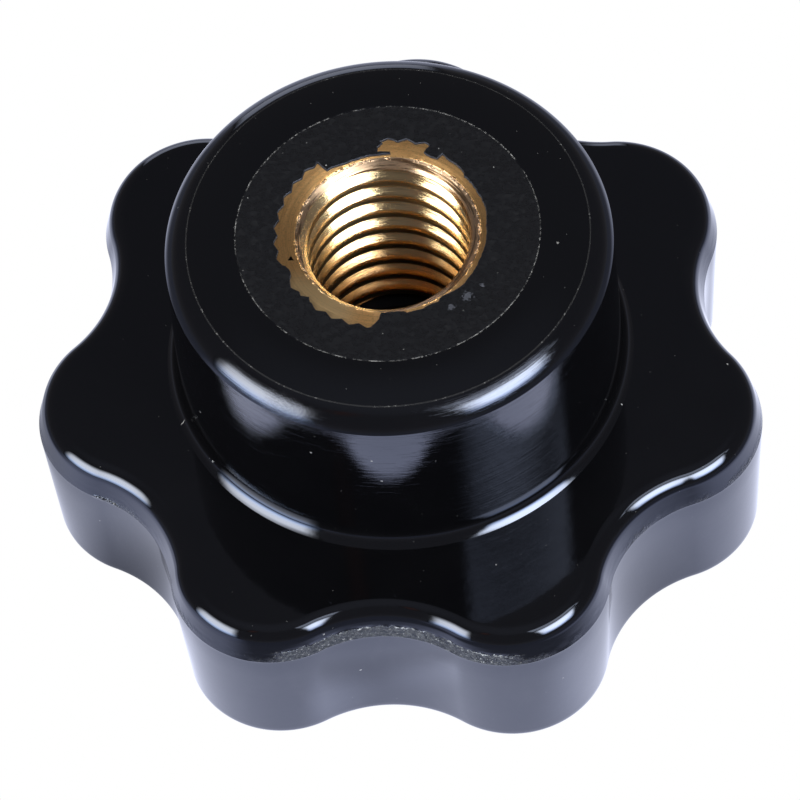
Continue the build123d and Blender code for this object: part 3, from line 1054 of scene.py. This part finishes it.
az = g.math("ARCTAN2", gx, gy)            # 0 behind the knob, + to the right
left = g.mul(g.step(g.math("ABSOLUTE", g.add(az, math.radians(129))), 0.55, 0.25), g.step(gr, 400.0, 120.0))
back = g.mul(g.step(g.math("ABSOLUTE", g.add(az, math.radians(14))), 0.40, 0.18), g.step(gr, 400.0, 120.0))
side_r = g.mul(g.step(g.math("ABSOLUTE", g.sub(az, math.radians(40))), 0.80, 0.50), g.step(gr, 85.0, 50.0))
side_l = g.mul(g.step(g.math("ABSOLUTE", g.add(az, math.radians(52))), 0.50, 0.30), g.step(gr, 85.0, 50.0))
far = g.add(0.20, g.add(g.mul(left, 0.80), g.mul(back, 0.5)))
far = g.add(far, g.add(g.mul(side_r, 0.45), g.mul(side_l, 0.30)))
# painted shadows of the knob on the glowing floor, in the left scallop and beside the right front lobe
close = g.mul(1.32, g.sub(1.0, g.mul(blob(-14.6, -8.3, 6.5), 0.66)))
close = g.mul(close, g.sub(1.0, g.mul(blob(13.6, -9.2, 5.5), 0.36)))
# painted light: a brighter patch in front on the right, and small brighter and darker spots in front of the knob
close = g.add(close, g.mul(blob(11.6, -17.0, 4.5), 0.34))
close = g.add(close, g.mul(blob(-2.7, -18.3, 2.4), 0.42))
close = g.add(close, g.mul(blob(0.5, -18.6, 1.4), 0.22))
close = g.sub(close, g.mul(blob(-0.9, -18.9, 1.4), 0.22))
# painted shadow at the knob's left back, and a painted pool of light behind it
close = g.mul(close, g.sub(1.0, g.mul(blob(-25.0, 2.0, 17.0), 0.62)))
close = g.add(close, g.mul(g.mul(back, g.step(gy, 8.0, 18.0)), 0.3))
lum = g.mixf(near, far, close)
ge = g.t.nodes.new("ShaderNodeEmission")
ge.inputs["Color"].default_value = (0.92, 0.965, 1.19, 1.0)
g.link(lum, ge.inputs["Strength"])
g.link(ge.outputs[0], g.out.inputs["Surface"])
glow.data.materials.append(g.mat)
g.mat.cycles.emission_sampling = "NONE"
glow.visible_camera = False
glow.visible_shadow = False


def panel(name, corners, strength, colour, soft=0.08, dist=0.9, peak=(0.5, 0.5), gain=0.0,
          low=1.0, tall=None, cool=None):
    """A light panel round the knob between four directions (azimuth and
    elevation in degrees): low left, low right, top right, top left."""
    dirs = []
    for az_deg, el_deg in corners:
        a, e = math.radians(az_deg), math.radians(el_deg)
        dirs.append(Vector((math.sin(a) * math.cos(e), math.cos(a) * math.cos(e), math.sin(e))))
    n = 8
    v, uvs, f = [], [], []
    for j in range(n + 1):
        for i in range(n + 1):
            u, w = i / n, j / n
            d = (dirs[0] * (1 - u) + dirs[1] * u) * (1 - w) + (dirs[3] * (1 - u) + dirs[2] * u) * w
            v.append(tuple(Vector((0, 0, 0.01)) + d.normalized() * dist))
            uvs.append((u, w))
    for j in range(n):
        for i in range(n):
            k = j * (n + 1) + i
            f.append((k, k + 1, k + n + 2, k + n + 1))
    me = bpy.data.meshes.new(name)
    me.from_pydata(v, [], f)
    layer = me.uv_layers.new(name="UVMap")
    for loop in me.loops:
        layer.data[loop.index].uv = uvs[loop.vertex_index]
    ob = bpy.data.objects.new(name, me)
    bpy.context.scene.collection.objects.link(ob)
    m = Nodes(name + "_light")
    tc = m.t.nodes.new("ShaderNodeTexCoord")
    x, y, z = m.xyz(tc.outputs["UV"])
    u = m.math("ABSOLUTE", m.sub(m.mul(x, 2.0), 1.0))
    w = m.math("ABSOLUTE", m.sub(m.mul(y, 2.0), 1.0))
    e = m.mul(m.step(u, 1.0, 1.0 - soft), m.step(w, 1.0, 1.0 - (soft if tall is None else tall)))
    dx, dy = m.sub(x, peak[0]), m.sub(y, peak[1])
    rr = m.add(m.mul(dx, dx), m.mul(dy, dy))
    e = m.mul(e, m.add(1.0, m.mul(m.step(rr, 0.3, 0.0), gain)))
    e = m.mul(e, m.mixf(m.step(y, 0.0, 0.45), low, 1.0))
    em = m.t.nodes.new("ShaderNodeEmission")
    em.inputs["Color"].default_value = (*colour, 1.0)
    if cool is not None:
        m.link(m.mixc(m.step(y, 0.12, 0.55), cool, colour), em.inputs["Color"])
    m.link(m.mul(e, strength), em.inputs["Strength"])
    m.link(em.outputs[0], m.out.inputs["Surface"])
    me.materials.append(m.mat)
    ob.visible_camera = False
    return ob


panel("softbox_left", [(-151, -6), (-104, -6), (-95, 49), (-142, 53)], 6.2, (1.02, 0.98, 0.85),
      gain=0.9, peak=(0.45, 0.5), soft=0.36, tall=0.75, cool=(0.74, 0.90, 1.10))
panel("softbox_right", [(112, 15), (146, 15), (151, 57), (88, 54)], 9.6, (0.99, 1.0, 0.94),
      gain=0.9, peak=(0.5, 0.6), low=0.60, soft=0.28, tall=0.55, cool=(0.82, 0.93, 1.10))
# dim upper part of the right light, behind it
panel("softbox_right_top", [(87, 46), (150, 49), (153, 68), (80, 64)], 2.8, (0.99, 1.0, 0.96),
      soft=0.16, dist=0.95)
panel("window_back", [(-29, -28), (1, -28), (1, 24), (-29, 24)], 1.2, (0.97, 0.99, 1.06),
      gain=0.3, peak=(0.5, 0.8), soft=0.2, low=0.7)
panel("warm_card", [(-156, 54), (-146, 54), (-145, 66), (-158, 66)], 0.34, (1.0, 0.42, 0.30),
      soft=0.5)

world = bpy.data.worlds.new("studio")
bpy.context.scene.world = world
world.use_nodes = True
wt = world.node_tree
wt.nodes.clear()
wo = wt.nodes.new("ShaderNodeOutputWorld")
bg = wt.nodes.new("ShaderNodeBackground")
tc = wt.nodes.new("ShaderNodeTexCoord")
sp = wt.nodes.new("ShaderNodeSeparateXYZ")
cr = wt.nodes.new("ShaderNodeValToRGB")
mr = wt.nodes.new("ShaderNodeMapRange")
wt.links.new(tc.outputs["Generated"], sp.inputs[0])
wt.links.new(sp.outputs[2], mr.inputs["Value"])
mr.inputs["From Min"].default_value = -1.0
mr.inputs["From Max"].default_value = 1.0
wt.links.new(mr.outputs["Result"], cr.inputs[0])
els = cr.color_ramp.elements
els[0].position = 0.495
els[0].color = (0.25, 0.25, 0.26, 1.0)
els[1].position = 0.99
els[1].color = (0.18, 0.175, 0.175, 1.0)
for at, shade in ((0.53, (0.19, 0.18, 0.175, 1.0)), (0.60, (0.140, 0.128, 0.124, 1.0)),
                  (0.68, (0.112, 0.104, 0.102, 1.0)), (0.93, (0.108, 0.102, 0.100, 1.0))):
    els.new(at).color = shade
wt.links.new(cr.outputs[0], bg.inputs["Color"])
bg.inputs["Strength"].default_value = 1.0
wt.links.new(bg.outputs[0], wo.inputs["Surface"])

vs = bpy.context.scene.view_settings
vs.view_transform = "Standard"
vs.look = "None"
vs.exposure = 0.0
vs.gamma = 1.0
